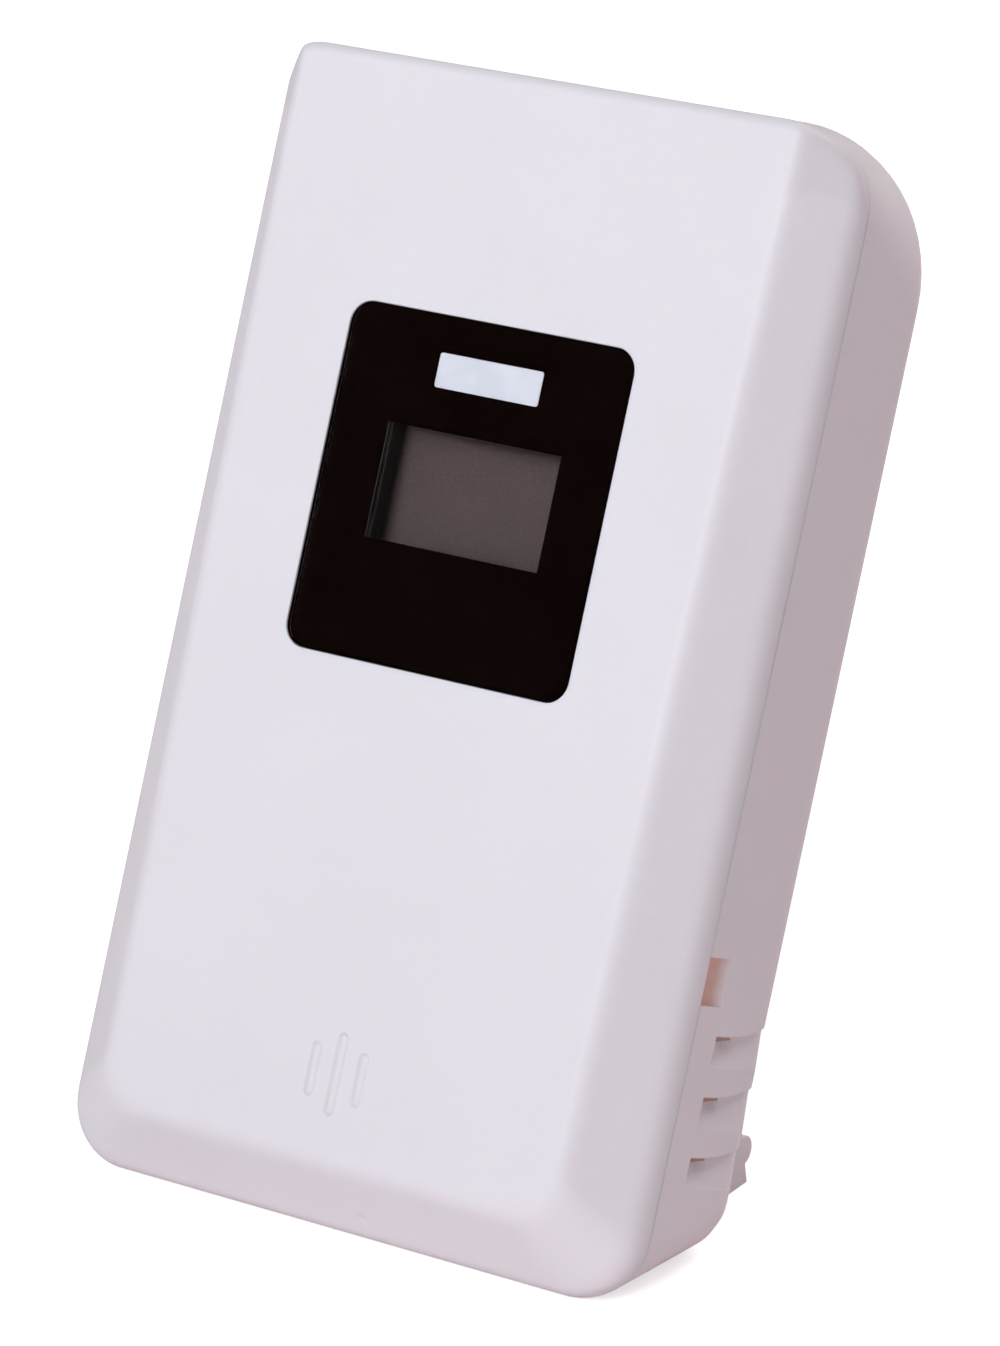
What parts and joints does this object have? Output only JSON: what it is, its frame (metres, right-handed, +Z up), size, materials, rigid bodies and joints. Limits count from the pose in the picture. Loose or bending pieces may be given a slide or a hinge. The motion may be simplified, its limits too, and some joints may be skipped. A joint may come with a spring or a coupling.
{
  "type": "wireless remote thermometer sensor",
  "caption": "White bevelled handheld-size remote thermometer sensor with a display window, side louvres, a rear battery door and a fold-out stand, leaning back on its slanted base.",
  "frame": {"origin": "centre of the slanted flat base face, on the surface that the case stands on", "axes": "+Z up, +Y from the display side to the back, +X to the right seen from the front; the case leans back 22.5 degrees about X"},
  "size_m": [0.0592, 0.0542, 0.0941],
  "materials": {
    "white_plastic": "satin moulded",
    "clear_lens": "clear polished",
    "print_black": "black print",
    "tape_grey": "foam adhesive",
    "lcd_grey": "blank liquid crystal glass",
    "black_plastic": "moulded black",
    "zebra_rubber": "conductive elastomer",
    "board_green": "solder mask",
    "radio_green": "solder mask",
    "steel": "plated",
    "sleeve_blue": "shrink sleeve",
    "wire_orange": "insulated wire",
    "epoxy_bead": "epoxy dipped",
    "cell_jacket": "printed jacket",
    "button_red": "moulded"
  },
  "bodies": {
    "case": {"front_cover": "white_plastic", "rear_cover": "white_plastic", "display_lens": "clear_lens", "display_mask": "print_black", "lens_tape": "tape_grey", "lcd_glass": "lcd_grey", "lcd_holder": "black_plastic", "zebra_strip": "zebra_rubber", "main_board": "board_green", "controller_blob": "black_plastic", "crystal": "steel", "capacitors": "sleeve_blue", "rf_module": "radio_green", "antenna": "wire_orange", "temperature_probe": "epoxy_bead", "battery_cells": "cell_jacket", "battery_springs": "steel", "battery_plates": "steel", "channel_switch": "steel", "button_switches": "black_plastic", "case_screws": "steel", "board_screws": "steel"},
    "stand": {"stand": "white_plastic"},
    "door": {"battery_door": "white_plastic", "door_screw": "steel"},
    "channel_knob": {"channel_knob": "black_plastic"},
    "reset_button": {"reset_button": "black_plastic"},
    "unit_button": {"unit_button": "button_red"}
  },
  "joints": [
    {"name": "stand_fold", "type": "hinge", "parent": "case", "child": "stand", "pos_m": [0, 0.01569, 0.02051], "axis": [1, 0, 0], "range_deg": [-33, 0]},
    {"name": "door_lift", "type": "slide", "parent": "case", "child": "door", "axis": [0, 0.9239, -0.3827], "range_m": [0, 0.025]},
    {"name": "channel_slide", "type": "slide", "parent": "case", "child": "channel_knob", "axis": [1, 0, 0], "range_m": [0, 0.004]},
    {"name": "reset_press", "type": "slide", "parent": "case", "child": "reset_button", "axis": [0, -0.9239, 0.3827], "range_m": [0, 0.0003], "stiffness_N_per_m": 200},
    {"name": "unit_press", "type": "slide", "parent": "case", "child": "unit_button", "axis": [0, -0.9239, 0.3827], "range_m": [0, 0.0003], "stiffness_N_per_m": 200}
  ]
}
